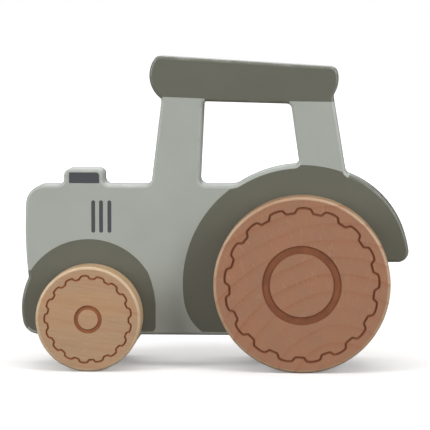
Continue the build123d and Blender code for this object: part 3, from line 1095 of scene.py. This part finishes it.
class TRACTOR_OT_wheels(bpy.types.Operator):
    """Turn the four wheels: rounded rims, blind bores and burnt engraving"""

    bl_idname = "tractor.turn_wheels"
    bl_label = "Turn Wheels"

    def execute(self, context):
        settings = context.scene.tractor_wheels
        axle_lo, axle_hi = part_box("rear_axle")
        axle_radius = (axle_hi.z - axle_lo.z) / 2
        sets = {
            "front": (settings.front_face, settings.front_rim, settings.front_burn,
                      Grain(turn=(math.radians(4), math.radians(84), 0), pith=(0.055, 0.02, 0),
                            spacing=5.5 * MM, wander=3 * MM, ring_strength=0.50,
                            ray_strength=0.22, fibre_strength=0.10, roughness=0.5)),
            "rear": (settings.rear_face, settings.rear_rim, settings.rear_burn,
                     Grain(turn=(math.radians(93), 0, 0), pith=(0.058, 0.010, 0),
                           spacing=7.7 * MM, wander=2 * MM, ring_strength=0.85,
                           ray_strength=0.50, fibre_strength=0.08, roughness=0.48)),
        }
        for end, (face, rim, burn, grain) in sets.items():
            materials = [turned_wood(f"{end}_wheel_wood", face, rim, burn, grain),
                         burnt_wood(f"{end}_burnt_line", burn)]
            for side_name, side in SIDES.items():
                node = f"{end}_wheel_{side_name}"
                plan = WheelPlan(node, side)
                wheel = self.turn_wheel(plan, ENGRAVINGS[end], settings, axle_radius).make(
                    f"{node}_turned", materials)
                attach(wheel, f"{end}_wheels")
                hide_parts(node)
        return {"FINISHED"}

    @staticmethod
    def turn_wheel(plan, engraving, settings, axle_radius):
        """One wheel's skin."""
        skin = Skin()
        count = 4 * round(math.tau * plan.radius / SPOKE_STEP / 4)
        origin = Vector((0, 0))
        spokes = circle(origin, 1.0, count)
        turn_body(skin, plan, settings, spokes, axle_radius - PRESS)

        ring_line = circle(origin, (engraving.ring_inner + engraving.ring_outer) / 2,
                           RING_CORNERS)
        ring_width = engraving.ring_outer - engraving.ring_inner
        tread = tread_line(plan.radius, engraving, settings.lobes)
        bands = [engrave(skin, plan, line, width, settings.groove_depth, settings.scorch_width)
                 for line, width in ((ring_line, ring_width), (tread, engraving.tread_width))]
        face_edge = [s * (plan.radius - settings.edge_rounding) for s in spokes]
        curves = [(face_edge, True)] + [(curve, True) for band in bands for curve in band]
        triangles, middles = flat_triangles(curves, WHEEL_SPACING)
        plain = inside(middles, face_edge)
        for outer, inner in bands:
            plain &= ~(inside(middles, outer) & ~inside(middles, inner))
        for i in np.nonzero(plain)[0]:
            skin.face([plan.corner(p, 0) for p in triangles[i]], WOOD)
        return skin


class TRACTOR_OT_axles(bpy.types.Operator):
    """Give the two axles the wood of beech dowels"""

    bl_idname = "tractor.finish_axles"
    bl_label = "Finish Axles"

    def execute(self, context):
        settings = context.scene.tractor_wheels
        dowel = plain_wood("axle_dowel", settings.axle, (math.radians(90), 0, 0))
        dress(("front_axle", "rear_axle"), dowel)
        return {"FINISHED"}


class TRACTOR_OT_washers(bpy.types.Operator):
    """Give the four thin washers their wood"""

    bl_idname = "tractor.finish_washers"
    bl_label = "Finish Washers"

    def execute(self, context):
        settings = context.scene.tractor_wheels
        veneer = plain_wood("washer_veneer", settings.washer, (0, math.radians(90), 0))
        dress([f"{end}_washer_{side}" for end in ENDS for side in SIDES], veneer)
        return {"FINISHED"}


def dress(names, material):
    """CAD parts given a material of their own."""
    for name in names:
        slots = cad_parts[name].data.materials
        slots.clear()
        slots.append(material)


# ---------------------------------------------------------------- stage


WHITE = (1.0, 1.0, 1.0, 1.0)
LIT_POINT = Vector((0, 0, 0.06))   # where every light looks


def softbox(name, place, size, power):
    """A large soft light that looks at the tractor."""
    light = bpy.data.lights.new(name, "AREA")
    light.shape = "RECTANGLE"
    light.size, light.size_y = size
    light.energy = power
    lamp = bpy.data.objects.new(name, light)
    lamp.location = place
    lamp.rotation_euler = (LIT_POINT - Vector(place)).to_track_quat("-Z", "Y").to_euler()
    bpy.context.scene.collection.objects.link(lamp)


class TRACTOR_OT_stage(bpy.types.Operator):
    """Set the pale floor, the soft lights and the camera"""

    bl_idname = "tractor.set_stage"
    bl_label = "Set Stage"

    def execute(self, context):
        settings = context.scene.tractor_stage
        scene = context.scene
        self.lay_floor(settings)
        for name, place, size, power in (
                ("left", (-0.90, -0.56, 0.46), (0.4, 0.8), settings.side_power),
                ("right", (0.90, -0.56, 0.46), (0.4, 0.8), settings.side_power),
                ("top", (0, -0.1, 1.5), (1.6, 1.6), settings.top_power),
                ("front", (0, -1.6, 0.9), (1.2, 0.8), settings.front_power),
                ("back", (0, 1.6, 0.9), (1.2, 0.8), settings.back_power)):
            softbox(f"{name}_softbox", place, size, power)
        self.set_sky(scene, settings)
        self.place_camera(scene, settings)
        scene.view_settings.view_transform = "Standard"
        return {"FINISHED"}

    @staticmethod
    def lay_floor(settings):
        """A round floor of smooth pale board with the faintest unevenness."""
        rings, count = 24, 96
        skin = Skin()
        up = Vector((0, 0, 1))
        radii = [settings.floor_radius * ((k + 1) / rings) ** 2 for k in range(rings)]
        rows = [[Corner(Vector((p.x, p.y, 0)), up) for p in circle(Vector((0, 0)), radius, count)]
                for radius in radii]
        skin.strips(rows)
        skin.fan(rows[0], Corner(Vector((0, 0, 0)), up))
        material, nodes, place = new_material("pale_floor")
        seen = nodes.add("ShaderNodeLightPath").outputs["Is Camera Ray"]
        shown = nodes.mix(nodes.noise(place, 6.0, 3.0), tinted(settings.floor_colour, 0.99),
                          tinted(settings.floor_colour, 1.01))
        grey = nodes.mix(seen, settings.bounce_colour, shown)
        away = nodes.add("ShaderNodeVectorMath", {0: place}, operation="LENGTH").outputs["Value"]
        lift = nodes.between(away, 0.35, 1.4, settings.floor_glow, 1.0)
        glow = nodes.times(seen, lift)
        nodes.surface(grey, nodes.ranged(nodes.noise(place, 20.0), 0.0, 1.0, 0.75, 0.85),
                      nodes.noise(place, 900.0), 0.01 * MM,
                      Emission_Color=WHITE, Emission_Strength=glow)
        floor = skin.make("pale_floor", [material])

    @staticmethod
    def set_sky(scene, settings):
        """Even white light from all round."""
        world = bpy.data.worlds.new("white_studio")
        world.use_nodes = True
        nodes = Nodes(world.node_tree)
        light = nodes.add("ShaderNodeBackground",
                          {"Color": WHITE, "Strength": settings.sky_strength})
        backdrop = nodes.add("ShaderNodeBackground", {"Color": WHITE, "Strength": 1.0})
        seen = nodes.add("ShaderNodeLightPath").outputs["Is Camera Ray"]
        both = nodes.add("ShaderNodeMixShader",
                         {0: seen, 1: light.outputs[0], 2: backdrop.outputs[0]})
        nodes.add("ShaderNodeOutputWorld", {"Surface": both.outputs[0]})
        scene.world = world

    @staticmethod
    def place_camera(scene, settings):
        """A long lens, a little above level and a little towards the back."""
        cos_up = math.cos(settings.elevation)
        back = Vector((math.sin(settings.azimuth) * cos_up, -math.cos(settings.azimuth) * cos_up,
                       math.sin(settings.elevation)))
        camera = bpy.data.objects.new("camera", bpy.data.cameras.new("camera"))
        camera.location = Vector((-0.08 * MM, 0, settings.target_height)) + back * settings.distance
        camera.rotation_euler = (-back).to_track_quat("-Z", "Y").to_euler()
        camera.data.lens = settings.lens
        camera.data.sensor_width = 36
        camera.data.clip_start = 0.05
        camera.data.clip_end = 50
        scene.collection.objects.link(camera)
        scene.camera = camera


class TRACTOR_PT_panel(bpy.types.Panel):
    """Lists the tractor's steps and settings"""

    bl_idname = "TRACTOR_PT_panel"
    bl_label = "Wooden Tractor"
    bl_space_type = "VIEW_3D"
    bl_region_type = "UI"
    bl_category = "Tractor"

    def draw(self, context):
        for settings, operators in (
                (context.scene.tractor_board, [TRACTOR_OT_board]),
                (context.scene.tractor_wheels,
                 [TRACTOR_OT_wheels, TRACTOR_OT_axles, TRACTOR_OT_washers]),
                (context.scene.tractor_stage, [TRACTOR_OT_stage])):
            box = self.layout.box()
            for name in settings.bl_rna.properties.keys():
                if name not in ("rna_type", "name"):
                    box.prop(settings, name)
            for operator in operators:
                box.operator(operator.bl_idname)


classes = (BoardSettings, WheelSettings, StageSettings, TRACTOR_OT_board, TRACTOR_OT_wheels,
           TRACTOR_OT_axles, TRACTOR_OT_washers, TRACTOR_OT_stage, TRACTOR_PT_panel)


def register():
    """Registers the classes and hangs the settings on the scene."""
    for cls in classes:
        bpy.utils.register_class(cls)
    bpy.types.Scene.tractor_board = PointerProperty(type=BoardSettings)
    bpy.types.Scene.tractor_wheels = PointerProperty(type=WheelSettings)
    bpy.types.Scene.tractor_stage = PointerProperty(type=StageSettings)


def unregister():
    """Takes the settings off the scene and unregisters the classes."""
    del bpy.types.Scene.tractor_stage
    del bpy.types.Scene.tractor_wheels
    del bpy.types.Scene.tractor_board
    for cls in reversed(classes):
        bpy.utils.unregister_class(cls)


def main():
    """Builds every piece in order."""
    register()
    bpy.ops.tractor.build_board()
    bpy.ops.tractor.turn_wheels()
    bpy.ops.tractor.finish_axles()
    bpy.ops.tractor.finish_washers()
    bpy.ops.tractor.set_stage()


if __name__ == "__main__":
    main()
